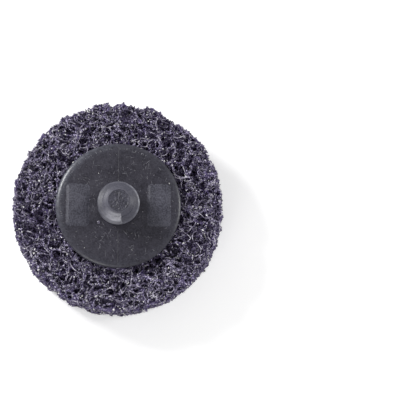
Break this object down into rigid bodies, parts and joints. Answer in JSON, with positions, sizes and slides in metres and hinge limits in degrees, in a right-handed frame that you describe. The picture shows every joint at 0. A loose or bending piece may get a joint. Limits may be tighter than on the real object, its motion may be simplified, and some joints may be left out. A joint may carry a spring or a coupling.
{
  "type": "surface conditioning disc",
  "caption": "Round open-web abrasive disc with a moulded drive button: a round plate and a threaded stud that screws into a quick-change holder.",
  "frame": {"origin": "centre of the working face, on the drive axis", "axes": "+Z along the drive axis from the working face towards the stud, +X through the two marking pads, -Y at the start of the stud's thread"},
  "size_m": [0.0508, 0.0508, 0.0223],
  "materials": {
    "coated_fibre": "open web of thick fibres, coated with dark purple resin and sharp grains that glint",
    "moulded_nylon": "satin dark grey moulding with a little mould texture and fine scratches"
  },
  "bodies": {
    "root": {"abrasive_web": "coated_fibre", "drive_button": "moulded_nylon"}
  },
  "joints": []
}
